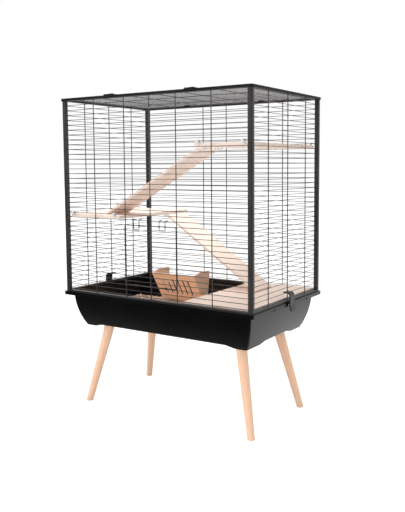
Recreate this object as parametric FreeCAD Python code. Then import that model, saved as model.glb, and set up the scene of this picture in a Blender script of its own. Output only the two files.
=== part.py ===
import FreeCAD, Part
import math
import os

# A tall cage for small pets. A deep plastic tray on four splayed wooden legs carries corner posts and
# wire walls, with a hinged wire lid, a front door, three wooden boards, two ramps and a hay rack.
# Millimetres. +X right, -Y front, +Z up, origin on the floor under the middle of the cage.

V = FreeCAD.Vector
UP = V(0, 0, 1)
SIDES = {"left": -1, "right": 1}
ENDS = {"front": -1, "back": 1}

# Clearances
slip = 0.3            # between pieces that move past each other
running = 0.06        # radial, between a hinge wire and the bore round it
snug = 0.1            # between pieces that are put together once
touch = 0.05          # between a round piece and what it is fixed to

# Tray
rim_length = 782.0
rim_depth = 476.0
rim_height = 411.0
rim_thickness = 3.0
rim_lip = 12.0
rim_overhang = 23.0
rim_corner = 7.0
wall_corner = 8.0
wall_thickness = 3.0
wall_depth = 114.0
wall_inset = 25.0
floor_round = 10.0
pad_drop = 5.5
pad_tuck = 0.5
pad_length_x = 52.0
pad_length_y = 85.0
pad_slope = 45.0
lip_slot_length = 22.0
lip_slot_height = 5.0
lip_slot_drop = 5.0
lip_slot_x = 180.0
lip_slot_y = 112.0

# Legs and their bolts
foot_inset_x = 47.0
foot_inset_y = 68.0
leg_lean_x = 65.0
leg_lean_y = 47.0
foot_radius = 11.5
leg_top_radius = 18.5
socket_radius = 20.5
socket_drop = 7.0
bolt_radius = 4.0
bolt_in_leg = 30.0
bolt_in_socket = 12.0
nut_radius = 8.0
nut_length = 8.0
nut_setback = 2.0

# Posts, rails and wire walls
roof_margin_x = 3.5
roof_margin_y = 3.0
roof_height = 1087.0
roof_rail_width = 22.0
roof_rail_height = 9.0
roof_corner = 6.0
post_size = 15.5
post_inset = 2.0
post_groove = 3.5
post_round = 2.0
base_rail_height = 6.0
wire_radius = 1.0
stay_radius = 1.6
wire_count = 39
lowest_wire_gap = 6.0
highest_wire_gap = 15.0
door_stay_x = 106.0
outer_stay_x = 240.0
side_stay_y = 126.5

# Roof lid
lid_wire_radius = 2.0
lid_drop = 4.0
lid_corner = 8.0
lid_side_gap = 11.0
lid_end_gap = 6.0
lid_bar_count = 24
lid_bar_radius = 0.8
knuckle_radius = 4.5
knuckle_length = 24.0
latch_x = 165.0
latch_width = 36.0
latch_plate = 3.0
latch_lip_thickness = 2.4
latch_lip = 6.0
latch_nub_radius = 3.0
latch_nub_length = 16.0

# Front door
door_foot_wire_count = 2
door_top_wire_count = 14
door_wire_radius = 1.5
door_corner = 6.0
door_foot_rise = 3.5
loop_x = 62.0
loop_wall = 1.6
loop_length = 9.0
hook_x = 53.5
hook_spread = 24.0
hook_radius = 1.2
hook_gap = 2.0
hook_bend = 3.0
hook_reach = 4.5
guide_wall = 1.0
guide_length = 6.0

# Side clips
clip_wire_count = 1
clip_width = 29.0
clip_thickness = 4.0
clip_fork_gap = 7.0
clip_arch_radius = 13.0
clip_reach = 5.0
clip_stand_off = 4.0
clip_pin_radius = 1.5
clip_pin_drop = 6.0
clip_boss_radius = 4.0
clip_tab_drop = 21.0
clip_tab_flare = 4.0
lug_thickness = 4.0

# Boards, their hooks and the ramps
board_thickness = 11.0
board_end_gap = 1.5
board_side_gap = 2.0
board_below_wire = 6.0
left_board_width = 226.0
left_board_back_gap = 48.0
left_board_wire_count = 16
upper_board_width = 199.0
upper_board_wire_count = 30
low_board_width = 250.0
low_board_gap = 0.5
board_hook_width = 10.0
board_hook_thickness = 2.0
board_hook_inset = 18.0
board_hook_drop = 4.0
ramp_length = 447.0
upper_ramp_y = -124.0
lower_ramp_y = 88.0
ramp_width = 111.0
ramp_thickness = 8.0
ramp_gap = 5.0
staple_radius = 1.5
staple_width = 26.0
staple_drop = 4.0
staple_reach = 4.0
staple_anchor = 14.0
staple_bend = 2.0
strap_wall = 2.0
strap_width = 10.0
strap_length = 16.0
strap_thickness = 2.0
strap_spread = 66.0

# Hay rack and shavings
rack_x = -111.0
rack_width = 192.0
rack_panel = 4.5
rack_foot_front = 98.0
rack_foot_back = 116.0
rack_top_front = 33.0
rack_top_back = 133.0
rack_front_height = 108.0
rack_back_height = 115.0
rack_side_bulge = 5.0
rack_strip_height = 18.0
rack_slot_count = 6
rack_slot_width = 9.0
rack_slot_length = 77.0
rack_slot_pitch = 23.0
rack_slot_from_top = 22.0
bedding_depth = 53.5
bedding_gap = 1.5
bedding_back_depth = 21.0
bedding_back_run = 45.0
bedding_behind_rack = 6.0

# Heights and planes that the sizes above give
wall_tilt = 2 * math.atan2(wall_inset, wall_depth)
wall_radius = wall_depth / math.sin(wall_tilt)
tray_bottom = rim_height - wall_depth - floor_round * (1 - math.sin(wall_tilt))
tray_floor = tray_bottom + wall_thickness
pad_bottom = tray_bottom - pad_drop
foot_x = rim_length / 2 - foot_inset_x
foot_y = rim_depth / 2 - foot_inset_y
roof_length = rim_length - 2 * roof_margin_x
roof_depth = rim_depth - 2 * roof_margin_y
post_x = roof_length / 2 - post_inset - post_size / 2
post_y = roof_depth / 2 - post_inset - post_size / 2
inner_x = post_x - post_size / 2
inner_y = post_y - post_size / 2
base_top = rim_height + base_rail_height
roof_under = roof_height - roof_rail_height
wire_pitch = (roof_under - highest_wire_gap - base_top - lowest_wire_gap) / (wire_count - 1)
stay_out = wire_radius + stay_radius
door_y = -(post_y + stay_out + stay_radius + slip + door_wire_radius)
hatch_x = roof_length / 2 - roof_rail_width
hatch_y = roof_depth / 2 - roof_rail_width
lid_x = hatch_x - lid_side_gap
lid_y = hatch_y - lid_end_gap
lid_z = roof_height - lid_drop


def wire_height(number):
    """Height of a wall wire's axis, counted from 0 at the bottom."""
    return base_top + lowest_wire_gap + number * wire_pitch


def box(x0, x1, y0, y1, z0, z1):
    low = V(min(x0, x1), min(y0, y1), min(z0, z1))
    return Part.makeBox(abs(x1 - x0), abs(y1 - y0), abs(z1 - z0), low)


def rod(start, end, radius):
    run = end - start
    return Part.makeCylinder(radius, run.Length, start, run)


def tube(start, end, outer, inner):
    return rod(start, end, outer).cut(rod(start, end, inner))


def rounded_outline(half_x, half_y, radius, z):
    """Closed wire: a rectangle with round corners, level at height z."""
    corners = [(1, 1), (-1, 1), (-1, -1), (1, -1)]
    diagonal = radius * (1 - math.sqrt(0.5))
    edges = []
    previous = None
    first = None
    for index, (sx, sy) in enumerate(corners):
        along_y = V(sx * half_x, sy * (half_y - radius), z)
        along_x = V(sx * (half_x - radius), sy * half_y, z)
        middle = V(sx * (half_x - diagonal), sy * (half_y - diagonal), z)
        start, end = (along_y, along_x) if index % 2 == 0 else (along_x, along_y)
        if previous:
            edges.append(Part.LineSegment(previous, start).toShape())
        edges.append(Part.Arc(start, middle, end).toShape())
        first = first or start
        previous = end
    edges.append(Part.LineSegment(previous, first).toShape())
    return Part.Wire(edges)


def slab(half_x, half_y, radius, z0, z1):
    return Part.Face(rounded_outline(half_x, half_y, radius, z0)).extrude(V(0, 0, z1 - z0))


def bent_path(points, bend, closed=False):
    """Wire of straight runs joined by tangent arcs of one radius."""
    count = len(points)
    edges = []
    bends = range(count) if closed else range(1, count - 1)
    previous = None if closed else points[0]
    first = None
    for index in bends:
        corner = points[index]
        back = (points[index - 1] - corner).normalize()
        ahead = (points[(index + 1) % count] - corner).normalize()
        half = back.getAngle(ahead) / 2
        start = corner + back * (bend / math.tan(half))
        end = corner + ahead * (bend / math.tan(half))
        towards = (back + ahead).normalize()
        middle = corner + towards * (bend / math.sin(half) - bend)
        if previous:
            edges.append(Part.LineSegment(previous, start).toShape())
        edges.append(Part.Arc(start, middle, end).toShape())
        first = first or start
        previous = end
    edges.append(Part.LineSegment(previous, first if closed else points[-1]).toShape())
    return Part.Wire(edges)


def bent_rod(points, bend, radius, closed=False):
    """A round rod bent along straight runs and arcs."""
    path = bent_path(points, bend, closed)
    start = path.Edges[-1].valueAt(path.Edges[-1].FirstParameter) if closed else points[0]
    end = path.Edges[-1].valueAt(path.Edges[-1].LastParameter) if closed else points[1]
    middle = (start + end) * 0.5 if closed else start
    if closed:
        last = [Part.LineSegment(start, middle).toShape(), Part.LineSegment(middle, end).toShape()]
        path = Part.Wire([last[1]] + path.Edges[:-1] + [last[0]])
    circle = Part.Wire(Part.Circle(middle, end - start, radius).toShape())
    return path.makePipeShell([circle], True, False)


def extruded(points, run):
    """A flat polygon pushed along a vector."""
    return Part.Face(Part.makePolygon(points + points[:1])).extrude(run)


def save(node, *solids):
    shape = solids[0] if len(solids) == 1 else Part.makeCompound(list(solids))
    if not shape.isValid() or not all(solid.isClosed() for solid in shape.Solids):
        print("check", node)
    shape.exportStep("parts/" + node + ".step")
    print(node, len(shape.Solids), round(shape.Volume))


# Tray

def bowl_levels(offset):
    """Inset and height of the tray wall's section, moved inwards by an offset."""
    wall_steps = 5
    round_steps = 4
    wall = []
    for step in range(wall_steps + 1):
        angle = wall_tilt * step / wall_steps
        inset = wall_radius * (1 - math.cos(angle)) + offset * math.cos(angle)
        wall.append((inset, rim_height - wall_radius * math.sin(angle) + offset * math.sin(angle)))
    foot = []
    for step in range(round_steps + 1):
        angle = wall_tilt + (math.pi / 2 - wall_tilt) * step / round_steps
        inset = wall_inset + floor_round * (math.cos(wall_tilt) - math.cos(angle)) + offset * math.cos(angle)
        drop = wall_depth + floor_round * (math.sin(angle) - math.sin(wall_tilt))
        foot.append((inset, rim_height - drop + offset * math.sin(angle)))
    return wall, foot


def bowl(offset):
    half_x = rim_length / 2 - rim_overhang
    half_y = rim_depth / 2 - rim_overhang
    solids = []
    for levels in bowl_levels(offset):
        outlines = [rounded_outline(half_x - inset, half_y - inset, wall_corner, z) for inset, z in levels]
        solids.append(Part.makeLoft(outlines, True, False))
    return solids[0].fuse(solids[1]).removeSplitter()


def leg_axis(sx, sy):
    """Foot centre, point at the socket's end, and direction of one leg."""
    foot = V(sx * foot_x, sy * foot_y, 0)
    run = V(-sx * leg_lean_x, -sy * leg_lean_y, pad_bottom).normalize()
    top = foot + run * ((pad_bottom - socket_drop) / run.z)
    return foot, top, run


def corner_pads():
    """The tray's four low corners, which carry the leg sockets and slope up to the floor."""
    half_x = rim_length / 2 - rim_overhang - wall_inset - pad_tuck
    half_y = rim_depth / 2 - rim_overhang - wall_inset - pad_tuck
    wall_foot = rim_height - wall_depth
    lean = (wall_foot - pad_bottom) * math.tan(wall_tilt)
    upper = rounded_outline(half_x, half_y, wall_corner, wall_foot)
    lower = rounded_outline(half_x - lean, half_y - lean, wall_corner, pad_bottom)
    near_x = half_x - pad_length_x
    near_y = half_y - pad_length_y
    top_x = near_x - pad_slope
    top_y = near_y - pad_slope
    front = -rim_depth
    left = -rim_length
    across = extruded([V(-near_x, front, pad_bottom), V(near_x, front, pad_bottom),
                       V(top_x, front, wall_foot), V(-top_x, front, wall_foot)], V(0, 2 * rim_depth, 0))
    along = extruded([V(left, -near_y, pad_bottom), V(left, near_y, pad_bottom),
                      V(left, top_y, wall_foot), V(left, -top_y, wall_foot)], V(2 * rim_length, 0, 0))
    return Part.makeLoft([upper, lower], True, True).cut(across).cut(along).Solids


clip_pin_x = rim_length / 2 + clip_boss_radius + slip
clip_pin_z = rim_height - clip_pin_drop


def make_tray():
    lip_z = rim_height - rim_lip
    rim = slab(rim_length / 2, rim_depth / 2, rim_corner, lip_z, rim_height)
    under = slab(rim_length / 2 - rim_thickness, rim_depth / 2 - rim_thickness, rim_corner - rim_thickness,
                 lip_z, rim_height - rim_thickness)
    tray = bowl(0).fuse([rim.cut(under)] + corner_pads())
    for sx in SIDES.values():
        for sy in ENDS.values():
            foot, top, run = leg_axis(sx, sy)
            reach = (tray_floor - wall_thickness / 2 - top.z) / run.z + socket_radius
            socket = rod(top, top + run * reach, socket_radius)
            above = box(-rim_length, rim_length, -rim_depth, rim_depth,
                        tray_floor - wall_thickness / 2, rim_height)
            tray = tray.fuse(socket.cut(above))
    for sx in SIDES.values():
        for sy in (-1, 1):
            inner = clip_width / 2 + slip
            lug = box(sx * (rim_length / 2 - rim_thickness / 2), sx * (clip_pin_x + clip_boss_radius),
                      sy * inner, sy * (inner + lug_thickness),
                      clip_pin_z - clip_boss_radius, clip_pin_z + clip_boss_radius)
            tray = tray.fuse(lug)
    tray = tray.cut(bowl(wall_thickness))
    slot_z = rim_height - lip_slot_drop
    for sign in (-1, 1):
        for side in (-1, 1):
            slot_x = side * lip_slot_x - lip_slot_length / 2
            slot_y = side * lip_slot_y - lip_slot_length / 2
            tray = tray.cut(box(slot_x, slot_x + lip_slot_length,
                                sign * (rim_depth / 2 - rim_thickness - 1), sign * (rim_depth / 2 + 1),
                                slot_z - lip_slot_height, slot_z))
            tray = tray.cut(box(sign * (rim_length / 2 - rim_thickness - 1), sign * (rim_length / 2 + 1),
                                slot_y, slot_y + lip_slot_length, slot_z - lip_slot_height, slot_z))
    for sx in SIDES.values():
        pin_start = V(sx * clip_pin_x, -rim_depth / 2, clip_pin_z)
        tray = tray.cut(rod(pin_start, pin_start + V(0, rim_depth, 0), clip_pin_radius + snug))
        for sy in ENDS.values():
            foot, top, run = leg_axis(sx, sy)
            tray = tray.cut(rod(top, top + run * (bolt_in_socket + snug), bolt_radius + snug))
            nut_start = top + run * (nut_setback - snug)
            tray = tray.cut(rod(nut_start, nut_start + run * (nut_length + 2 * snug), nut_radius + snug))
    return tray


os.makedirs("parts", exist_ok=True)
save("tray", make_tray())

# Legs with their bolts and nuts
bolts = []
nuts = []
for end, sy in ENDS.items():
    for side, sx in SIDES.items():
        foot, top, run = leg_axis(sx, sy)
        length = (top - foot).Length
        taper = (leg_top_radius - foot_radius) / length
        below = foot_radius
        leg = Part.makeCone(foot_radius - taper * below, leg_top_radius, length + below,
                            foot - run * below, run)
        ground = box(-rim_length, rim_length, -rim_depth, rim_depth, -rim_height, 0)
        leg = leg.cut(ground).cut(rod(top - run * (bolt_in_leg + snug), top, bolt_radius + snug))
        save("leg_" + end + "_" + side, leg)
        bolts.append(rod(top - run * bolt_in_leg, top + run * bolt_in_socket, bolt_radius))
        nut_start = top + run * nut_setback
        nuts.append(tube(nut_start, nut_start + run * nut_length, nut_radius, bolt_radius + snug))
save("leg_bolts", *bolts)
save("leg_nuts", *nuts)


# Posts and rails

def make_post(sx, sy):
    half = post_size / 2
    outer = [V(-half, -half), V(half, -half), V(half, half - post_groove),
             V(half - post_groove, half - post_groove), V(half - post_groove, half), V(-half, half)]
    post = extruded([V(point.x, point.y, rim_height) for point in outer], UP * (roof_under - rim_height))
    hollow = V(half - post_groove, half - post_groove, 0)
    upright = []
    for edge in post.Edges:
        corner = V(edge.Vertexes[0].X, edge.Vertexes[0].Y, 0)
        if edge.Length > post_size * 2 and (corner - hollow).Length > 1:
            upright.append(edge)
    post = post.makeFillet(post_round, upright)
    turn = {(1, 1): 0, (-1, 1): 90, (-1, -1): 180, (1, -1): 270}[(sx, sy)]
    post.rotate(V(0, 0, 0), UP, turn)
    post.translate(V(sx * post_x, sy * post_y, 0))
    return post


for end, sy in ENDS.items():
    for side, sx in SIDES.items():
        save("corner_post_" + end + "_" + side, make_post(sx, sy))

for end, sy in ENDS.items():
    save("base_rail_" + end, box(-inner_x, inner_x, sy * inner_y, sy * (inner_y + post_size),
                                 rim_height, base_top))
    rail = box(-roof_length / 2, roof_length / 2, sy * hatch_y, sy * roof_depth / 2, roof_under, roof_height)
    ends = [edge for edge in rail.Edges if abs(edge.Length - roof_rail_height) < 0.01
            and abs(edge.Vertexes[0].Y - sy * roof_depth / 2) < 0.01]
    save("roof_rail_" + end, rail.makeFillet(roof_corner, ends))
for side, sx in SIDES.items():
    save("base_rail_" + side, box(sx * inner_x, sx * (inner_x + post_size), -inner_y, inner_y,
                                  rim_height, base_top))
    save("roof_rail_" + side, box(sx * hatch_x, sx * roof_length / 2, -hatch_y, hatch_y,
                                  roof_under, roof_height))


# Wire walls

def front_or_back_wires(sy, doorway):
    solids = []
    wall_y = sy * post_y
    stay_y = sy * (post_y + stay_out)
    edge_x = door_stay_x - stay_radius
    for number in range(wire_count):
        z = wire_height(number)
        spans = [(-inner_x, inner_x)]
        if doorway and door_foot_wire_count < number < door_top_wire_count:
            spans = [(-inner_x, -edge_x), (edge_x, inner_x)]
        solids += [rod(V(x0, wall_y, z), V(x1, wall_y, z), wire_radius) for x0, x1 in spans]
    for x in (-outer_stay_x, -door_stay_x, door_stay_x, outer_stay_x):
        solids.append(rod(V(x, stay_y, base_top), V(x, stay_y, roof_under), stay_radius))
    spans = [(base_top, roof_under)]
    if doorway:
        spans = [(base_top, wire_height(door_foot_wire_count) + wire_radius),
                 (wire_height(door_top_wire_count) - wire_radius, roof_under)]
    solids += [rod(V(0, stay_y, z0), V(0, stay_y, z1), stay_radius) for z0, z1 in spans]
    return solids


def side_wires(sx):
    solids = []
    for number in range(wire_count):
        z = wire_height(number)
        solids.append(rod(V(sx * post_x, -inner_y, z), V(sx * post_x, inner_y, z), wire_radius))
    for y in (-side_stay_y, 0, side_stay_y):
        x = sx * (post_x + stay_out)
        solids.append(rod(V(x, y, base_top), V(x, y, roof_under), stay_radius))
    return solids


save("front_wires", *front_or_back_wires(-1, True))
save("back_wires", *front_or_back_wires(1, False))
for side, sx in SIDES.items():
    save(side + "_wires", *side_wires(sx))

# Roof lid: its back wire turns in two clips on the back rail
corners = [V(lid_x, lid_y, lid_z), V(-lid_x, lid_y, lid_z), V(-lid_x, -lid_y, lid_z), V(lid_x, -lid_y, lid_z)]
save("lid_frame", bent_rod(corners, lid_corner, lid_wire_radius, closed=True))
lid_wires = []
lid_bar_z = lid_z + lid_wire_radius + lid_bar_radius
for number in range(1, lid_bar_count + 1):
    y = -lid_y + 2 * lid_y * number / (lid_bar_count + 1)
    reach = lid_x + lid_wire_radius
    lid_wires.append(rod(V(-reach, y, lid_bar_z), V(reach, y, lid_bar_z), lid_bar_radius))
for x in (-outer_stay_x, -door_stay_x, 0, door_stay_x, outer_stay_x):
    z = lid_bar_z - lid_bar_radius - stay_radius
    reach = lid_y - lid_wire_radius
    lid_wires.append(rod(V(x, -reach, z), V(x, reach, z), stay_radius))
save("lid_wires", *lid_wires)


def make_knuckle(x):
    start = V(x - knuckle_length / 2, lid_y, lid_z)
    end = V(x + knuckle_length / 2, lid_y, lid_z)
    neck = box(start.x, end.x, lid_y, hatch_y, lid_z - knuckle_radius, lid_z + lid_wire_radius)
    return rod(start, end, knuckle_radius).fuse(neck).cut(rod(start, end, lid_wire_radius + running))


save("lid_hinge_clips", make_knuckle(-latch_x), make_knuckle(latch_x))


def make_lid_latch(x):
    """A lever on the lid's front wire that lies over the front rail and turns down before it."""
    x0 = x - latch_width / 2
    x1 = x + latch_width / 2
    front = -roof_depth / 2 - slip
    under = roof_height + slip
    barrel = rod(V(x0, -lid_y, lid_z), V(x1, -lid_y, lid_z), knuckle_radius)
    plate = box(x0, x1, front - latch_lip_thickness, -lid_y, under, under + latch_plate)
    lip = box(x0, x1, front - latch_lip_thickness, front, roof_height - latch_lip, under + latch_plate)
    nub_start = V(x - latch_nub_length / 2, (front - lid_y) / 2, under + latch_plate)
    nub = rod(nub_start, nub_start + V(latch_nub_length, 0, 0), latch_nub_radius)
    latch = barrel.fuse([plate, lip, nub]).removeSplitter()
    return latch.cut(rod(V(x0, -lid_y, lid_z), V(x1, -lid_y, lid_z), lid_wire_radius + running))


for side, sx in SIDES.items():
    save("lid_latch_" + side, make_lid_latch(sx * latch_x))

# Front door: its bottom wire turns in two loops on the wall
door_z0 = wire_height(door_foot_wire_count) + door_foot_rise
door_z1 = wire_height(door_top_wire_count)
corners = [V(door_stay_x, door_y, door_z1), V(-door_stay_x, door_y, door_z1),
           V(-door_stay_x, door_y, door_z0), V(door_stay_x, door_y, door_z0)]
save("door_frame", bent_rod(corners, door_corner, door_wire_radius, closed=True))
door_wires = []
door_wire_y = door_y - door_wire_radius - wire_radius
for number in range(door_foot_wire_count + 1, door_top_wire_count):
    z = wire_height(number)
    reach = door_stay_x + door_wire_radius
    door_wires.append(rod(V(-reach, door_wire_y, z), V(reach, door_wire_y, z), wire_radius))
door_wires.append(rod(V(0, door_y, door_z0 + door_wire_radius), V(0, door_y, door_z1 - door_wire_radius),
                      door_wire_radius))
save("door_wires", *door_wires)


def make_door_loop(x):
    """A loop round the door's bottom wire, on an arm from the wall wire behind it."""
    start = V(x - loop_length / 2, door_y, door_z0)
    end = V(x + loop_length / 2, door_y, door_z0)
    wall_z = wire_height(door_foot_wire_count)
    bore = door_wire_radius + running
    arm = box(start.x, end.x, door_y, -post_y - wire_radius - touch,
              wall_z - wire_radius, wall_z + wire_radius)
    return rod(start, end, bore + loop_wall).fuse(arm).cut(rod(start, end, bore))


save("door_hinge_loops", make_door_loop(-loop_x), make_door_loop(loop_x))

guide_bore = hook_radius + running
guide_radius = guide_bore + guide_wall
hook_y = door_y - door_wire_radius - touch - guide_radius
hook_top = wire_height(door_top_wire_count + 1) + wire_radius + slip + hook_radius
hook_foot = wire_height(door_top_wire_count - 1) + wire_radius + hook_gap + hook_radius


def make_door_latch(x):
    """A bent wire with two prongs whose tips lie over a wall wire above the door."""
    left = x - hook_spread / 2
    right = x + hook_spread / 2
    tip_y = -post_y + hook_reach
    points = [V(left, tip_y, hook_top), V(left, hook_y, hook_top), V(left, hook_y, hook_foot),
              V(right, hook_y, hook_foot), V(right, hook_y, hook_top), V(right, tip_y, hook_top)]
    return bent_rod(points, hook_bend, hook_radius)


guides = []
for side, sx in SIDES.items():
    save("door_latch_" + side, make_door_latch(sx * hook_x))
    for x in (sx * hook_x - hook_spread / 2, sx * hook_x + hook_spread / 2):
        guides.append(tube(V(x, hook_y, door_z1 - guide_length / 2), V(x, hook_y, door_z1 + guide_length / 2),
                           guide_radius, guide_bore))
save("door_latch_guides", *guides)


# Side clips

def make_clip(sx):
    """A lever on the rim whose forked arch reaches over a low wall wire beside the middle stay."""
    outer_x = clip_pin_x + clip_stand_off
    hook_under = wire_height(clip_wire_count) + wire_radius + slip
    arch_x = outer_x - clip_arch_radius
    arch_z = hook_under + clip_thickness - clip_arch_radius
    inner_radius = clip_arch_radius - clip_thickness
    tip_x = post_x - clip_reach
    half_turn = math.sqrt(0.5)
    tab_x = outer_x + clip_tab_flare
    tab_z = clip_pin_z - clip_tab_drop
    flat = clip_width / 2

    def at(x, z):
        return V(sx * x, -flat, z)

    def line(start, end):
        return Part.LineSegment(start, end).toShape()

    outer_mid = at(arch_x + clip_arch_radius * half_turn, arch_z + clip_arch_radius * half_turn)
    inner_mid = at(arch_x + inner_radius * half_turn, arch_z + inner_radius * half_turn)
    outline = Part.Wire([
        line(at(tab_x, tab_z), at(outer_x, clip_pin_z)),
        line(at(outer_x, clip_pin_z), at(outer_x, arch_z)),
        Part.Arc(at(outer_x, arch_z), outer_mid, at(arch_x, arch_z + clip_arch_radius)).toShape(),
        line(at(arch_x, arch_z + clip_arch_radius), at(tip_x, arch_z + clip_arch_radius)),
        line(at(tip_x, arch_z + clip_arch_radius), at(tip_x, hook_under)),
        line(at(tip_x, hook_under), at(arch_x, hook_under)),
        Part.Arc(at(arch_x, hook_under), inner_mid, at(outer_x - clip_thickness, arch_z)).toShape(),
        line(at(outer_x - clip_thickness, arch_z), at(outer_x - clip_thickness, clip_pin_z)),
        line(at(outer_x - clip_thickness, clip_pin_z), at(tab_x - clip_thickness, tab_z)),
        line(at(tab_x - clip_thickness, tab_z), at(tab_x, tab_z))])
    lever = Part.Face(outline).extrude(V(0, clip_width, 0))
    boss = rod(at(clip_pin_x, clip_pin_z), V(sx * clip_pin_x, flat, clip_pin_z), clip_boss_radius)
    fork_x = post_x + stay_out + stay_radius + clip_fork_gap / 2
    fork = box(sx * (tip_x - 1), sx * fork_x, -clip_fork_gap / 2, clip_fork_gap / 2,
               arch_z, arch_z + clip_arch_radius + 1)
    bore = rod(at(clip_pin_x, clip_pin_z), V(sx * clip_pin_x, flat, clip_pin_z), clip_pin_radius + running)
    return lever.fuse(boss).removeSplitter().cut(fork).cut(bore)


pins = []
for side, sx in SIDES.items():
    save("side_clip_" + side, make_clip(sx))
    pin_half = clip_width / 2 + slip + lug_thickness
    pins.append(rod(V(sx * clip_pin_x, -pin_half, clip_pin_z), V(sx * clip_pin_x, pin_half, clip_pin_z),
                    clip_pin_radius))
save("clip_pins", *pins)


# Boards: two hang on hooks from the wire walls, the low one lies on the tray's rim

def make_board_hook(edge, board_top, wire_z, along, turn):
    """A bent strip on a board's edge that reaches over a wall wire, turned about the cage's middle."""
    half = board_hook_width / 2
    wall = post_y if turn in (0, 180) else post_x
    out = wall + stay_out
    over = wire_z + wire_radius + snug
    plate = box(along - half, along + half, edge, edge + board_hook_thickness,
                board_top - board_thickness / 2, over + board_hook_thickness)
    arm = box(along - half, along + half, edge, out + board_hook_thickness, over, over + board_hook_thickness)
    turn_down = box(along - half, along + half, out, out + board_hook_thickness,
                    wire_z - board_hook_drop, over + board_hook_thickness)
    hook = plate.fuse([arm, turn_down]).removeSplitter()
    hook.rotate(V(0, 0, 0), UP, turn)
    return hook


def make_hung_board(name, sx, width, depth, wire_z):
    """Saves a board in a front corner, with hooks to the front wall and the back or side wall."""
    top = wire_z - board_below_wire
    outer = inner_x - board_side_gap
    inner = outer - width
    front = inner_y - board_end_gap
    save(name, box(sx * inner, sx * outer, -front, depth - front, top - board_thickness, top))
    places = (inner + board_hook_inset, outer - board_hook_inset)
    hooks = [make_board_hook(front, top, wire_z, -sx * place, 180) for place in places]
    if abs(depth - 2 * front) < board_end_gap:
        hooks += [make_board_hook(front, top, wire_z, sx * place, 0) for place in places]
    else:
        turn = 90 if sx < 0 else 270
        for y in (board_hook_inset - front, depth - front - board_hook_inset):
            hooks.append(make_board_hook(outer, top, wire_z, -sx * y, turn))
    save(name + "_hooks", *hooks)
    return top, sx * inner


full_depth = 2 * (inner_y - board_end_gap)
left_board_depth = full_depth - left_board_back_gap
left_board_top, left_board_edge = make_hung_board(
    "left_board", -1, left_board_width, left_board_depth, wire_height(left_board_wire_count))
upper_board_top, upper_board_edge = make_hung_board(
    "upper_board", 1, upper_board_width, full_depth, wire_height(upper_board_wire_count))
low_board_top = rim_height + board_thickness
low_board_x = inner_x - low_board_gap
low_board_y = inner_y - low_board_gap
save("low_board", box(low_board_x - low_board_width, low_board_x, -low_board_y, low_board_y,
                      rim_height, low_board_top))


# Ramps: straps under each ramp turn on staples under a board's edge

def make_ramp(name, board, sx, edge, board_top, landing, y):
    """Saves a ramp that falls towards sx from a board's edge to a landing, with straps and staples."""
    board_under = board_top - board_thickness
    pivot = V(edge + sx * staple_reach, y, board_under - staple_drop)
    bore = staple_radius + running
    under = bore + strap_wall - strap_thickness - 1.0
    reach = ramp_gap + ramp_length
    drop = pivot.z - landing - slip
    fall = math.asin(drop / math.hypot(reach, under)) - math.atan2(under, reach)
    along = V(sx * math.cos(fall), 0, -math.sin(fall))
    normal = V(sx * math.sin(fall), 0, math.cos(fall))

    def plate(start, end, low, high, width, centre_y):
        """A flat block in the ramp's own directions."""
        origin = V(pivot.x, centre_y - width / 2, pivot.z)
        corners = [origin + along * start + normal * low, origin + along * end + normal * low,
                   origin + along * end + normal * high, origin + along * start + normal * high]
        return extruded(corners, V(0, width, 0))

    save(name, plate(ramp_gap, reach, -under, ramp_thickness - under, ramp_width, y))
    straps = []
    staples = []
    for centre_y in (y - strap_spread / 2, y + strap_spread / 2):
        start = V(pivot.x, centre_y - strap_width / 2, pivot.z)
        end = V(pivot.x, centre_y + strap_width / 2, pivot.z)
        strap = plate(0, ramp_gap + strap_length, -under - strap_thickness, -under, strap_width, centre_y)
        eye = rod(start, end, bore + strap_wall)
        straps.append(eye.fuse(strap).removeSplitter().cut(rod(start, end, bore)))
        anchor = edge - sx * staple_anchor
        points = []
        for side in (-1, 1):
            arm_y = centre_y + side * staple_width / 2
            arm = [V(anchor, arm_y, board_under), V(anchor, arm_y, pivot.z), V(pivot.x, arm_y, pivot.z)]
            points += arm if side < 0 else arm[::-1]
        staples.append(bent_rod(points, staple_bend, staple_radius))
    save(name + "_straps", *straps)
    save(board + "_staples", *staples)
    print(name, "pivot", round(pivot.x, 3), round(pivot.z, 3), "falls", round(math.degrees(fall), 2),
          "foot", round(pivot.x + along.x * reach, 1))


make_ramp("upper_ramp", "upper_board", -1, upper_board_edge, upper_board_top, left_board_top, upper_ramp_y)
make_ramp("lower_ramp", "left_board", 1, left_board_edge, left_board_top, low_board_top, lower_ramp_y)

# Shavings on the tray's floor, deep at the front and under the rack, shallow at the back
bedding_low = tray_floor + slip
bedding_top = bedding_low + bedding_depth


def wall_room(z):
    """How far the tray's inner wall stands in from its top, at a height above the floor's round."""
    return wall_radius - math.sqrt(wall_radius ** 2 - (rim_height - z) ** 2)


def make_bedding():
    half_x = rim_length / 2 - rim_overhang - wall_thickness - bedding_gap
    half_y = rim_depth / 2 - rim_overhang - wall_thickness - bedding_gap
    foot = wall_inset + floor_round * math.cos(wall_tilt)
    top = wall_room(bedding_top)
    heap = Part.makeLoft([rounded_outline(half_x - foot, half_y - foot, wall_corner, bedding_low),
                          rounded_outline(half_x - top, half_y - top, wall_corner, bedding_top)], True, True)
    edge_y = rack_foot_back + bedding_behind_rack
    back_z = bedding_low + bedding_back_depth
    above = [V(-half_x, edge_y, bedding_top), V(-half_x, edge_y + bedding_back_run, back_z),
             V(-half_x, rim_depth, back_z), V(-half_x, rim_depth, rim_height), V(-half_x, edge_y, rim_height)]
    return heap.cut(extruded(above, V(2 * half_x, 0, 0)))


save("bedding", make_bedding())

# Hay rack: a trough with arched sides, a slotted front that leans out at the top and a low strip behind
rack_low = bedding_top + slip
rack_lean = math.atan2(rack_foot_front - rack_top_front, rack_front_height)


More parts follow.
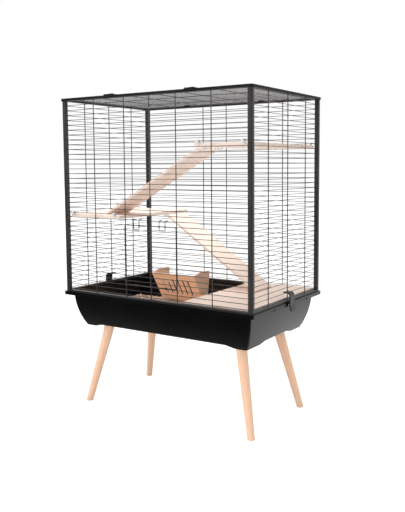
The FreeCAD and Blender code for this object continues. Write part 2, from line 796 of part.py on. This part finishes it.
def rack_section(x0, x1):
    """A slice of the trough's outer section between two X places, arched at the top."""
    foot_front = V(x0, rack_foot_front, rack_low)
    foot_back = V(x0, rack_foot_back, rack_low)
    top_back = V(x0, rack_top_back, rack_low + rack_back_height)
    top_front = V(x0, rack_top_front, rack_low + rack_front_height)
    crown = (top_front + top_back) * 0.5 + UP * rack_side_bulge
    edges = [Part.LineSegment(foot_front, foot_back).toShape(),
             Part.LineSegment(foot_back, top_back).toShape(),
             Part.Arc(top_back, crown, top_front).toShape(),
             Part.LineSegment(top_front, foot_front).toShape()]
    return Part.Face(Part.Wire(edges)).extrude(V(x1 - x0, 0, 0))


def make_rack_front():
    """The leaning front, with slots that run up it."""
    x0 = rack_x - rack_width / 2
    up = V(0, -math.sin(rack_lean), math.cos(rack_lean))
    out = V(0, -math.cos(rack_lean), -math.sin(rack_lean))
    foot = V(x0, rack_foot_front, rack_low) + up * (rack_panel * math.tan(rack_lean))
    length = rack_front_height / math.cos(rack_lean) - rack_panel * math.tan(rack_lean)
    head = foot + up * length
    panel = extruded([foot, head, head + out * rack_panel, foot + out * rack_panel], V(rack_width, 0, 0))
    for number in range(rack_slot_count):
        x = rack_x + (number - (rack_slot_count - 1) / 2) * rack_slot_pitch
        high = head - up * (rack_slot_from_top + rack_slot_width / 2)
        low = high - up * (rack_slot_length - rack_slot_width)
        start = V(x - rack_slot_width / 2, low.y, low.z) - out
        end = start + V(rack_slot_width, 0, 0)
        rise = high - low
        panel = panel.cut(extruded([start, end, end + rise, start + rise], out * (rack_panel + 2)))
        for centre in (low, high):
            round_end = V(x, centre.y, centre.z)
            panel = panel.cut(rod(round_end - out, round_end + out * (rack_panel + 1), rack_slot_width / 2))
    return panel


def make_rack():
    x0 = rack_x - rack_width / 2
    x1 = rack_x + rack_width / 2
    save("rack_front", make_rack_front())
    save("rack_side_left", rack_section(x0, x0 + rack_panel))
    save("rack_side_right", rack_section(x1 - rack_panel, x1))
    between = rack_section(x0 + rack_panel, x1 - rack_panel)
    floor_top = rack_low + rack_panel
    save("rack_floor", between.common(box(x0, x1, -rim_depth, rim_depth, rack_low, floor_top)))
    save("rack_strip", between.common(box(x0, x1, rack_foot_back - rack_panel, rim_depth,
                                          floor_top, rack_low + rack_strip_height)))


make_rack()
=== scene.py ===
# %% [markdown]
# # A tall pet cage on wooden legs
# A deep black tray stands on four splayed legs. Wire walls, a hinged wire lid and a front door close it above, and
# inside hang pale wooden boards with two ramps, beside a slotted hay rack in a bed of shavings.
# The measured model comes in first, as a fixed frame: every post, wire and board is already in its place, in metres.
# This lesson gives it a camera, a studio and its finishes, and makes the one soft thing in it, the shavings.

# %% Bring in the measured model
import math

import bmesh
import bpy
from mathutils import Matrix, Vector, noise


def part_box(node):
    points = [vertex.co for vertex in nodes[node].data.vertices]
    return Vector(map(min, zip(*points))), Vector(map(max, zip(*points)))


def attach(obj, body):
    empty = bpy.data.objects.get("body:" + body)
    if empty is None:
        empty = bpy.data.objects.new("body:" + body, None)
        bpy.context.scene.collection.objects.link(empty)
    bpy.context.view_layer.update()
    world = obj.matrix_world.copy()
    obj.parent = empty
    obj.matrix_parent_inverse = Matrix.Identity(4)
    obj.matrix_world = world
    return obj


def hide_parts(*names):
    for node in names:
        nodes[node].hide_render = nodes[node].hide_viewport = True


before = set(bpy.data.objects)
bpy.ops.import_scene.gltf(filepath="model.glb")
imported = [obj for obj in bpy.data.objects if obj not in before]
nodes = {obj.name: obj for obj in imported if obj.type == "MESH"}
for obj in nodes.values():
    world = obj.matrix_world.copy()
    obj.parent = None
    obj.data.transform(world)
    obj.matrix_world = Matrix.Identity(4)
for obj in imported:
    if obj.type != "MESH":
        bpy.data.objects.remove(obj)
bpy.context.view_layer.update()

scene = bpy.context.scene
print(len(nodes), "pieces from the measured model")

# %% [markdown]
# ## Camera
# The photograph was taken from the front, a third of a right angle round to the right, at a height between the tray
# and the lid. Placing a camera by eye drifts, so its place, direction and focal length were solved once from the
# corners of the roof, the tray's rim and the four feet. The picture's middle is not the lens's middle, which a small
# lens shift repeats.

# %% Camera at the photograph's place
picture_width, picture_height = 405, 512
focal_pixels = 666.56
centre_pixels = (234.475, 225.705)
camera_place = Vector((1.375, -1.9023, 0.8483))
turn, dip, roll = (math.radians(angle) for angle in (32.173, 5.03, -0.216))

ahead = Vector((-math.sin(turn) * math.cos(dip), math.cos(turn) * math.cos(dip), -math.sin(dip)))
level = ahead.cross(Vector((0, 0, 1))).normalized()
upward = level.cross(ahead)
right = level * math.cos(roll) + upward * math.sin(roll)
top = upward * math.cos(roll) - level * math.sin(roll)

lens = bpy.data.cameras.new("photo_camera")
lens.sensor_fit = "VERTICAL"
lens.sensor_height = 36.0
lens.lens = focal_pixels / picture_height * lens.sensor_height
lens.shift_x = (picture_width / 2 - centre_pixels[0]) / picture_height
lens.shift_y = (centre_pixels[1] - picture_height / 2) / picture_height
camera = bpy.data.objects.new("photo_camera", lens)
camera.matrix_world = Matrix.Translation(camera_place) @ Matrix((right, top, -ahead)).transposed().to_4x4()
scene.collection.objects.link(camera)
scene.camera = camera
print("lens", round(lens.lens, 2), "mm")

# %% [markdown]
# ## Writing finishes as sums
# A finish is a tree of nodes, and linking nodes by hand is long to read. A small class wraps one socket, so that an
# expression such as 1 - grain * 0.5 adds its own Math nodes. One method makes every other kind of node: it takes the
# node's type, its settings and what feeds its sockets.

# %% A socket that can be added and multiplied
class Reading:
    """A value that varies over a surface. Arithmetic on it adds Math nodes to its finish."""

    def __init__(self, finish, socket):
        self.finish = finish
        self.socket = socket

    def math(self, operation, *others):
        inputs = dict(enumerate(others))
        return self.finish.node("ShaderNodeMath", {"operation": operation}, inputs)

    def __add__(self, other):
        return self.math("ADD", self, other)

    __radd__ = __add__

    def __sub__(self, other):
        return self.math("SUBTRACT", self, other)

    def __rsub__(self, other):
        return self.math("SUBTRACT", other, self)

    def __mul__(self, other):
        return self.math("MULTIPLY", self, other)

    __rmul__ = __mul__

    def __abs__(self):
        return self.math("ABSOLUTE", self)

    def wave(self):
        return self.math("SINE", self)

    def larger(self, other):
        return self.math("MAXIMUM", self, other)

    def step(self, low, high):
        """Smooth step from 0 at low to 1 at high."""
        inputs = {"Value": self, "From Min": low, "From Max": high}
        return self.finish.node("ShaderNodeMapRange", {"interpolation_type": "SMOOTHSTEP"}, inputs)


class NodeTree:
    """A tree of nodes that are added one by one."""

    def __init__(self, tree):
        self.tree = tree

    def node(self, kind, settings=None, inputs=None, output=0):
        made = self.tree.nodes.new(kind)
        for name, value in (settings or {}).items():
            setattr(made, name, value)
        for name, value in (inputs or {}).items():
            self.feed(made.inputs[name], value)
        return None if output is None else Reading(self, made.outputs[output])

    def feed(self, socket, value):
        if isinstance(value, Reading):
            self.tree.links.new(value.socket, socket)
        elif socket.type == "RGBA":
            socket.default_value = (*value, 1)
        else:
            socket.default_value = value

    def place(self):
        return self.node("ShaderNodeTexCoord", output="Object")

    def along(self, vector, direction):
        """How far a vector reaches along a fixed direction."""
        inputs = {0: vector, 1: tuple(direction)}
        return self.node("ShaderNodeVectorMath", {"operation": "DOT_PRODUCT"}, inputs, "Value")

    def stretched(self, x, y, z):
        """A vector made of three readings."""
        return self.node("ShaderNodeCombineXYZ", None, {0: x, 1: y, 2: z})

    def noise(self, vector, scale, detail=3.0, roughness=0.55):
        inputs = {"Vector": vector, "Scale": scale, "Detail": detail, "Roughness": roughness}
        return self.node("ShaderNodeTexNoise", None, inputs, "Fac")

    def blend(self, share, first, second):
        """Mixes two colours."""
        return self.node("ShaderNodeMix", {"data_type": "RGBA"}, {0: share, 6: first, 7: second}, 2)

    def layer(self, share, first, second):
        """Mixes two shaders."""
        return self.node("ShaderNodeMixShader", None, {0: share, 1: first, 2: second})

    def bump(self, height, depth):
        """Relief of a given depth in metres."""
        return self.node("ShaderNodeBump", None, {"Height": height, "Distance": depth}, "Normal")


class Finish(NodeTree):
    """A material of one surface shader."""

    def __init__(self, name):
        self.material = bpy.data.materials.new(name)
        self.material.use_nodes = True
        super().__init__(self.material.node_tree)
        self.surface = self.tree.nodes["Principled BSDF"]

    def set(self, **values):
        """Feeds the surface's own sockets, named with _ for each space."""
        for name, value in values.items():
            self.feed(self.surface.inputs[name.replace("_", " ")], value)


def give(finish, *names):
    for name in names:
        slots = nodes[name].data.materials
        slots.clear()
        slots.append(finish.material)
    print(finish.material.name, "on", len(names), "pieces")


# %% [markdown]
# ## Studio
# The cage was photographed on a seamless white ground. The floor here is an ordinary pale floor to every light ray,
# so that it throws soft light back under the tray, but rays from the camera and reflections also see a white glow on
# it. The glow stops just short of white, and the lit floor adds the rest, so the cage still leaves a faint shadow.
# The white ground lay behind the cage and the room before it was dark, which is why the tray's front is black and its
# right side grey: in reflections, the glow fades towards the front.

# %% Floor and white surround
floor_reach = 20.0
floor_corners = [(x * floor_reach, y * floor_reach, 0) for x, y in ((-1, -1), (1, -1), (1, 1), (-1, 1))]
floor_mesh = bpy.data.meshes.new("studio_floor")
floor_mesh.from_pydata(floor_corners, [], [(0, 1, 2, 3)])
floor = bpy.data.objects.new("studio_floor", floor_mesh)
scene.collection.objects.link(floor)


def ray_kind(tree, kind):
    return tree.node("ShaderNodeLightPath", output="Is %s Ray" % kind)


def seen_rays(tree):
    """1 for rays from the camera, reflections and see-through rays, 0 for rays that carry light."""
    return ray_kind(tree, "Camera").larger(ray_kind(tree, "Glossy")).larger(ray_kind(tree, "Transmission"))


def fading(tree, towards_back, dark, white):
    """White, but in reflections dark towards the front."""
    return tree.layer(1 - ray_kind(tree, "Glossy") * (1 - towards_back), dark, white)


backwards = (0, 1, 0)
dark_room = 0.04
ground = Finish("studio_floor")
ground.tree.nodes.remove(ground.surface)
lit_floor = ground.node("ShaderNodeBsdfDiffuse", None, {"Color": (0.9, 0.9, 0.9)})
faint_floor = ground.node("ShaderNodeBsdfDiffuse", None, {"Color": (0.3, 0.3, 0.3)})
white_glow = ground.node("ShaderNodeEmission", None, {"Strength": 0.9})
dark_glow = ground.node("ShaderNodeEmission", None, {"Strength": dark_room})
white_floor = ground.node("ShaderNodeAddShader", None, {0: faint_floor, 1: white_glow})
seen_floor = fading(ground, ground.along(ground.place(), backwards).step(-0.7, 0.8), dark_glow, white_floor)
ground.feed(ground.tree.nodes["Material Output"].inputs["Surface"],
            ground.layer(seen_rays(ground), lit_floor, seen_floor))
floor_mesh.materials.append(ground.material)

world = scene.world or bpy.data.worlds.new("studio")
scene.world = world
world.use_nodes = True
world.node_tree.nodes.clear()
sky = NodeTree(world.node_tree)
soft_left, soft_right, white, dark = (
    sky.node("ShaderNodeBackground", None, {"Color": (1, 1, 1), "Strength": strength})
    for strength in (1.2, 0.5, 1.0, dark_room))
outward = sky.node("ShaderNodeTexCoord", output="Generated")
soft_side = (-0.9, 0.4, 0)
soft = sky.layer(sky.along(outward, soft_side).step(-0.7, 0.7), soft_right, soft_left)
surround = fading(sky, sky.along(outward, backwards).step(-0.4, 0.5), dark, white)
sky.node("ShaderNodeOutputWorld", None, {"Surface": sky.layer(seen_rays(sky), soft, surround)}, None)
print("white ground", round(floor_mesh.polygons[0].area), "square metres")

# %% [markdown]
# The legs are bright on their left and deeper orange on their right, so the room's soft light is stronger from the
# left, and one lamp stands at the front left. A lamp before the cage reaches the hay rack over the tray's rim, a weak
# one on the right keeps that side readable, and a large one above lights the boards through the wire lid.

# %% Lamps
def lamp(name, place, aim, size, power):
    light = bpy.data.lights.new(name, "AREA")
    light.shape = "SQUARE"
    light.size = size
    light.energy = power
    made = bpy.data.objects.new(name, light)
    made.location = place
    made.rotation_euler = (Vector(aim) - Vector(place)).to_track_quat("-Z", "Y").to_euler()
    scene.collection.objects.link(made)


lamp("left_softbox", (-2.3, -2.0, 2.0), (0, 0, 0.5), 1.6, 10)
lamp("front_softbox", (0.0, -2.6, 1.15), (0, 0, 0.45), 1.0, 15)
lamp("side_softbox", (2.9, 0.4, 1.6), (0, 0, 0.6), 1.6, 6)
lamp("top_softbox", (0.2, -0.2, 3.4), (0, 0, 0.5), 1.8, 76)
scene.view_settings.view_transform = "Standard"

# %% [markdown]
# ## Black plastic and black paint
# The tray is moulded in satin black plastic: near black where it faces us, and grey where it turns away and mirrors
# the white room. Its grain is a fine moulded stipple. A single black would look like a hole, so the finish varies a
# little in roughness, as handled plastic does. Posts, clips and painted wire share the recipe with their own shine:
# the roof's rails and clips are dull, and the wires glossy, so that they show as pale lines before the dark tray.

# %% Black finishes
def black_finish(name, colour, roughness, stipple_scale, stipple_depth, level):
    finish = Finish(name)
    place = finish.place()
    wide = finish.noise(place, 9.0, 2.0)
    stipple = finish.noise(place, stipple_scale, 2.0, 0.5)
    tint = finish.blend(wide.step(0.3, 0.7), [0.8 * c for c in colour], [1.25 * c for c in colour])
    finish.set(Base_Color=tint, Roughness=roughness + wide * 0.1 + stipple * 0.06 - 0.08,
               Normal=finish.bump(stipple, stipple_depth))
    finish.set(Specular_IOR_Level=level)
    return finish


tray_black = black_finish("tray_black", (0.0020, 0.0022, 0.0026), 0.30, 900.0, 0.00004, 0.36)
post_black = black_finish("post_black", (0.030, 0.027, 0.026), 0.40, 700.0, 0.00005, 0.4)
clip_black = black_finish("clip_black", (0.012, 0.012, 0.012), 0.32, 700.0, 0.00003, 0.4)
wire_paint = black_finish("wire_paint", (0.030, 0.027, 0.026), 0.30, 500.0, 0.00004, 1.0)
roof_black = black_finish("roof_black", (0.014, 0.013, 0.013), 0.50, 700.0, 0.00005, 0.12)

give(tray_black, "tray")
give(post_black, *[name for name in nodes if name.startswith(("corner_post", "base_rail"))])
give(roof_black, *[name for name in nodes if name.startswith(("roof_rail", "lid_hinge", "lid_latch"))])
give(clip_black, "side_clip_left", "side_clip_right", "door_latch_left", "door_latch_right", "door_latch_guides")
give(wire_paint, "front_wires", "back_wires", "left_wires", "right_wires", "lid_frame", "lid_wires", "door_frame",
     "door_wires", "door_hinge_loops")

# %% [markdown]
# ## Light wood
# Boards, ramps, legs and rack are pale untreated softwood. Grain is long: along the board it changes slowly, across
# it quickly. The finish measures each point along three directions of its own piece, the grain, the side and the
# face, and stretches the noise along the first. Cut edges are warmer and show the board's layers.

# %% Wood finishes
# Cells of noise per metre, along the grain and across it.
wander_rate, streak_rate, pore_rate = (2.0, 9.0), (5.0, 150.0), (28.0, 900.0)
layer_thickness, grain_depth = 0.0022, 0.00012


def wood_finish(name, pale, warm, edge, grain, face):
    finish = Finish(name)
    grain = Vector(grain).normalized()
    face = Vector(face).normalized()
    side = face.cross(grain).normalized()
    place = finish.place()
    run = finish.along(place, grain)
    across = finish.along(place, side)
    depth = finish.along(place, face)

    def cells(rate, drift=0.0):
        return finish.stretched(run * rate[0], across * rate[1] + drift, depth * rate[1])

    wander = finish.noise(cells(wander_rate), 1.0)
    streak = finish.noise(cells(streak_rate, wander * 3.0), 1.0, 3.0, 0.6)
    pore = finish.noise(cells(pore_rate), 1.0, 2.0, 0.5)
    share = streak.step(0.42, 0.75) * 0.5 + wander.step(0.35, 0.7) * 0.35 + pore.step(0.55, 0.8) * 0.15
    colour = finish.blend(share, pale, warm)
    normal = finish.node("ShaderNodeNewGeometry", output="Normal")
    on_edge = 1 - abs(finish.along(normal, face)).step(0.35, 0.75)
    layers = (depth * (math.tau / layer_thickness)).wave().step(-0.5, 0.6)
    colour = finish.blend(on_edge * (0.55 + layers * 0.3), colour, edge)
    finish.set(Base_Color=colour, Roughness=0.62 + streak * 0.12 - pore * 0.06,
               Normal=finish.bump(streak * 0.6 + pore * 0.4, grain_depth))
    finish.set(Specular_IOR_Level=0.3)
    return finish


board_pale, board_warm, board_edge = (0.95, 0.80, 0.71), (0.91, 0.69, 0.57), (0.84, 0.70, 0.61)
rack_pale, rack_warm, rack_edge = (0.98, 0.64, 0.42), (0.95, 0.55, 0.33), (0.95, 0.70, 0.55)
side_pale, side_warm = (0.95, 0.70, 0.55), (0.88, 0.58, 0.42)
leg_pale, leg_warm = (0.94, 0.62, 0.44), (0.88, 0.51, 0.32)

flat_board = wood_finish("flat_board", board_pale, board_warm, board_edge, (0, 1, 0), (0, 0, 1))
give(flat_board, "left_board", "upper_board", "low_board")
for name, side in (("upper_ramp", -1), ("lower_ramp", 1)):
    low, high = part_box(name)
    fall = Vector((side * (high.x - low.x), 0, low.z - high.z)).normalized()
    ramp_finish = wood_finish(name + "_wood", board_pale, board_warm, board_edge, fall, (-fall.z, 0, fall.x))
    give(ramp_finish, name)

leg_lean = (0.065, 0.047, 0.286)
leg_side = Vector((1, 0.4, 0))
for end, sy in (("front", -1), ("back", 1)):
    for hand, sx in (("left", -1), ("right", 1)):
        lean = Vector((-sx * leg_lean[0], -sy * leg_lean[1], leg_lean[2]))
        leg = "leg_%s_%s" % (end, hand)
        give(wood_finish(leg + "_wood", leg_pale, leg_warm, leg_pale, lean, lean.cross(leg_side)), leg)

sideways = (1, 0, 0)
rack_front_face, rack_strip_face, rack_side_grain = (0, -0.857, -0.515), (0, 1, 0.15), (0, 0.2, 1)
give(wood_finish("rack_front_wood", rack_pale, rack_warm, rack_edge, sideways, rack_front_face), "rack_front")
give(wood_finish("rack_strip_wood", rack_pale, rack_warm, rack_edge, sideways, rack_strip_face),
     "rack_strip", "rack_floor")
give(wood_finish("rack_side_wood", side_pale, side_warm, rack_edge, rack_side_grain, sideways),
     "rack_side_left", "rack_side_right")

# %% [markdown]
# ## Steel fittings
# Bolts, nuts, clip pins, the boards' hooks and the ramps' staples and straps are steel with a dull, pale zinc
# coat. Its bloom scatters light as paint does, so only a third of the surface answers as bare metal. Fine scratches
# lie on it, and its roughness and colour follow two noises.

# %% Steel finish
steel = Finish("zinc_steel")
place = steel.place()
scratches = steel.noise(place, 1200.0, 2.0)
bloom = steel.noise(place, 60.0, 2.0)
steel.set(Base_Color=steel.blend(bloom.step(0.3, 0.7), (0.80, 0.79, 0.77), (0.88, 0.86, 0.84)), Metallic=0.35,
          Roughness=0.26 + scratches * 0.16, Normal=steel.bump(scratches, 0.00002))
give(steel, "leg_bolts", "leg_nuts", "clip_pins", "left_board_hooks", "upper_board_hooks", "left_board_staples",
     "upper_board_staples", "upper_ramp_straps", "lower_ramp_straps")

# %% [markdown]
# ## Bed of shavings
# Shavings lie deep at the front of the tray and under the rack, and thin out at the back. The measured model holds
# their space as one plain heap. Here a lumpy bed takes its place, and Geometry Nodes strew curled shavings over it:
# one short curl, swept along an arc, is copied to random points with a random turn, size and tone.

# %% Lumpy bed in the heap's place
heap_low, heap_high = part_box("bedding")
bed_drop, lump_height = 0.007, 0.003
broad_lumps, small_lumps = 28, 75
slope_start, slope_end, back_top = 0.122, 0.167, heap_low.z + 0.021
rim_top, wall_drop, wall_come_in = 0.411, 0.114, 0.025
wall_radius = (wall_drop ** 2 + wall_come_in ** 2) / (2 * wall_come_in)
wall_top_x, wall_top_y, wall_gap = 0.365, 0.212, 0.0015


def heap_top(y):
    """Height of the heap's top over a line across the tray."""
    share = min(max((y - slope_start) / (slope_end - slope_start), 0), 1)
    return heap_high.z + (back_top - heap_high.z) * share


def wall_inset(z):
    """How far the tray's curved wall has come in at a height."""
    return wall_radius - math.sqrt(wall_radius ** 2 - (rim_top - z) ** 2) + wall_gap


def lumpy_top(margin):
    """A grid over the heap's top that stops a margin short of the walls."""
    made = bmesh.new()
    columns, rows = 112, 62
    grid = []
    for row in range(rows + 1):
        v = 2 * row / rows - 1
        y = v * (wall_top_y - wall_inset(heap_high.z if v < 0.5 else back_top) - margin)
        height = heap_top(y) - bed_drop
        reach = wall_top_x - wall_inset(height) - margin
        line = []
        for column in range(columns + 1):
            x = (2 * column / columns - 1) * reach
            broad = noise.noise(Vector((x * broad_lumps, y * broad_lumps, 0)))
            small = noise.noise(Vector((x * small_lumps, y * small_lumps, 4)))
            line.append(made.verts.new((x, y, height + lump_height * (broad + 0.5 * small))))
        grid.append(line)
    for near, far in zip(grid, grid[1:]):
        for column in range(columns):
            made.faces.new((near[column], near[column + 1], far[column + 1], far[column]))
    return made


bed = lumpy_top(0.0)
border = [edge for edge in bed.edges if edge.is_boundary]
skirt = bmesh.ops.extrude_edge_only(bed, edges=border)["geom"]
low_ring = [item for item in skirt if isinstance(item, bmesh.types.BMVert)]
foot_x, foot_y = 0.328, 0.175
for vertex in low_ring:
    vertex.co = (max(-foot_x, min(foot_x, vertex.co.x)), max(-foot_y, min(foot_y, vertex.co.y)), heap_low.z)
bmesh.ops.contextual_create(bed, geom=[edge for edge in bed.edges if edge.is_boundary])
bmesh.ops.recalc_face_normals(bed, faces=bed.faces)
bed_mesh = bpy.data.meshes.new("shavings_bed")
bed.to_mesh(bed_mesh)
bed.free()
bed_mesh.shade_smooth()
shavings_bed = bpy.data.objects.new("shavings_bed", bed_mesh)
scene.collection.objects.link(shavings_bed)
print("bed of", len(bed_mesh.polygons), "faces")

# %% Shavings finish
shaving_wood = Finish("shaving_wood")
tone = shaving_wood.node("ShaderNodeAttribute", {"attribute_name": "tone"}, None, "Fac")
place = shaving_wood.place()
fibre = shaving_wood.noise(place, 420.0, 3.0)
colour = shaving_wood.blend(tone, (0.97, 0.85, 0.75), (0.93, 0.72, 0.57))
colour = shaving_wood.blend(fibre.step(0.45, 0.75) * 0.35, colour, (0.88, 0.64, 0.48))
shaving_wood.set(Base_Color=colour, Roughness=0.7 + fibre * 0.1, Normal=shaving_wood.bump(fibre, 0.0002))
shaving_wood.set(Specular_IOR_Level=0.2)

bed_finish = Finish("shavings_below")
place = bed_finish.place()
tangle_and_hollow_shade = bed_finish.noise(place, 160.0, 4.0, 0.65)
# Painted shade: the bed under the curls is a darker orange than the curls, and darkest in the hollows of its relief,
# where shade falls between the shavings.
colour = bed_finish.blend(tangle_and_hollow_shade.step(0.35, 0.65), (0.76, 0.52, 0.36), (0.90, 0.74, 0.61))
bed_finish.set(Base_Color=colour, Roughness=0.75 + tangle_and_hollow_shade * 0.1, Normal=bed_finish.bump(tangle_and_hollow_shade, 0.0025))
bed_finish.set(Specular_IOR_Level=0.2)
bed_mesh.materials.append(bed_finish.material)

# %% Curls strewn with Geometry Nodes
strew = bpy.data.node_groups.new("strew_shavings", "GeometryNodeTree")
strew.interface.new_socket("Bed", in_out="INPUT", socket_type="NodeSocketGeometry")
sizes = {"Curl radius": 0.0048, "Curl width": 0.0052, "Curl thickness": 0.0005, "Density": 13500.0, "Seed": 7}
for label, size in sizes.items():
    kind = "NodeSocketInt" if label == "Seed" else "NodeSocketFloat"
    strew.interface.new_socket(label, in_out="INPUT", socket_type=kind).default_value = size
strew.interface.new_socket("Shavings", in_out="OUTPUT", socket_type="NodeSocketGeometry")

strewing = NodeTree(strew)
group_input = strew.nodes.new("NodeGroupInput")
given = {label: Reading(strewing, group_input.outputs[label]) for label in ("Bed", *sizes)}
curl_steps, curl_sweep = 7, math.radians(215)
any_turn = ((0.0, 0.0, 0.0), (math.tau, math.tau, math.tau))
any_size = ((0.55, 0.55, 0.5), (1.25, 1.25, 1.5))


def random_vector(limits):
    return strewing.node("FunctionNodeRandomValue", {"data_type": "FLOAT_VECTOR"},
                         {0: limits[0], 1: limits[1], "Seed": given["Seed"]})


arc = strewing.node("GeometryNodeCurveArc", None,
                    {"Resolution": curl_steps, "Radius": given["Curl radius"], "Sweep Angle": curl_sweep})
strip = strewing.node("GeometryNodeCurvePrimitiveQuadrilateral", None,
                      {"Width": given["Curl thickness"], "Height": given["Curl width"]})
curl = strewing.node("GeometryNodeCurveToMesh", None, {"Curve": arc, "Profile Curve": strip, "Fill Caps": True})
points = strewing.node("GeometryNodeDistributePointsOnFaces", None,
                       {"Mesh": given["Bed"], "Density": given["Density"], "Seed": given["Seed"]})
copies = strewing.node("GeometryNodeInstanceOnPoints", None,
                       {"Points": points, "Instance": curl, "Rotation": random_vector(any_turn),
                        "Scale": random_vector(any_size)})
tones = strewing.node("FunctionNodeRandomValue", {"data_type": "FLOAT"}, {2: 0.0, 3: 1.0, "Seed": given["Seed"]}, 1)
toned = strewing.node("GeometryNodeStoreNamedAttribute", {"data_type": "FLOAT", "domain": "INSTANCE"},
                      {"Geometry": copies, "Name": "tone", "Value": tones})
real = strewing.node("GeometryNodeRealizeInstances", None, {"Geometry": toned})
finished = strewing.node("GeometryNodeSetMaterial", None, {"Geometry": real, "Material": shaving_wood.material})
strewing.node("NodeGroupOutput", None, {"Shavings": finished}, None)

curl_reach = 0.009
strewn_mesh = bpy.data.meshes.new("strewn")
strewn_top = lumpy_top(curl_reach)
strewn_top.to_mesh(strewn_mesh)
strewn_top.free()
strewn = bpy.data.objects.new("strewn", strewn_mesh)
scene.collection.objects.link(strewn)
modifier = strewn.modifiers.new("strew", "NODES")
modifier.node_group = strew
for item in strew.interface.items_tree:
    if item.name in sizes:
        modifier[item.identifier] = sizes[item.name]
evaluated = bpy.context.evaluated_depsgraph_get()
curls_mesh = bpy.data.meshes.new_from_object(strewn.evaluated_get(evaluated), depsgraph=evaluated)
curls_mesh.name = "shavings_curls"
bpy.data.objects.remove(strewn)
shavings_curls = bpy.data.objects.new("shavings_curls", curls_mesh)
scene.collection.objects.link(shavings_curls)
print("curls of", len(curls_mesh.polygons), "faces, from", round(min(v.co.z for v in curls_mesh.vertices), 4), "to",
      round(max(v.co.z for v in curls_mesh.vertices), 4), "m")

for piece in (shavings_bed, shavings_curls):
    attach(piece, "cage")
    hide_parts("bedding")
